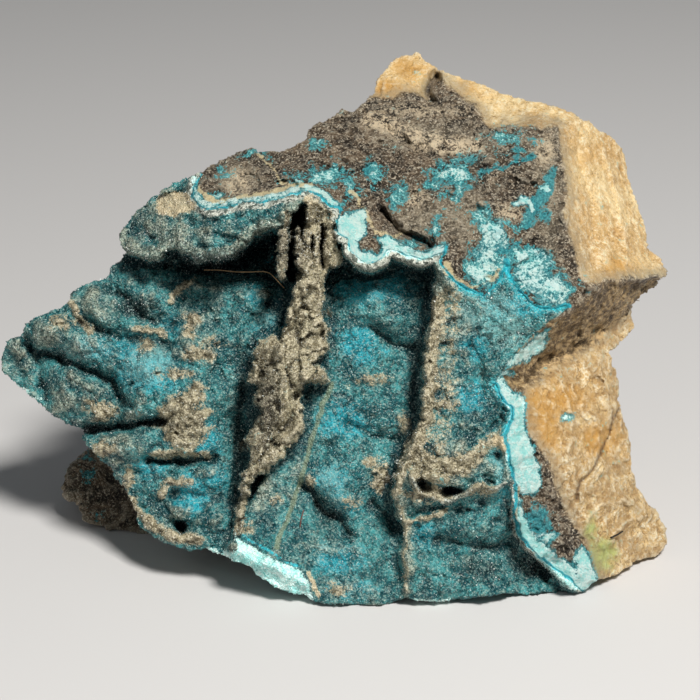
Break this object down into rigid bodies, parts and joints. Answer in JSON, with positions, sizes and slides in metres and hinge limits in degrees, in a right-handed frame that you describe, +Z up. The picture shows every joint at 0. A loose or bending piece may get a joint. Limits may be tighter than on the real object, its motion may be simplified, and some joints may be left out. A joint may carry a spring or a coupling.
{
  "type": "chrysocolla specimen",
  "caption": "Rough mineral specimen: teal drusy chrysocolla hollow with crusty ridges, a turquoise band, brown matrix and golden jasper, standing on a flat base.",
  "frame": {"origin": "centre of the bounding box's underside, on the surface that the flat base rests on", "axes": "+X rightwards along the crystal-lined face, the longest side; +Y from the face to the broken back; +Z up"},
  "size_m": [0.0855, 0.0486, 0.0587],
  "materials": {
    "stone": "teal crystal druse with tan crusts, pale turquoise band, dark brown granular matrix and golden jasper"
  },
  "bodies": {
    "root": {"specimen": "stone"}
  },
  "joints": []
}
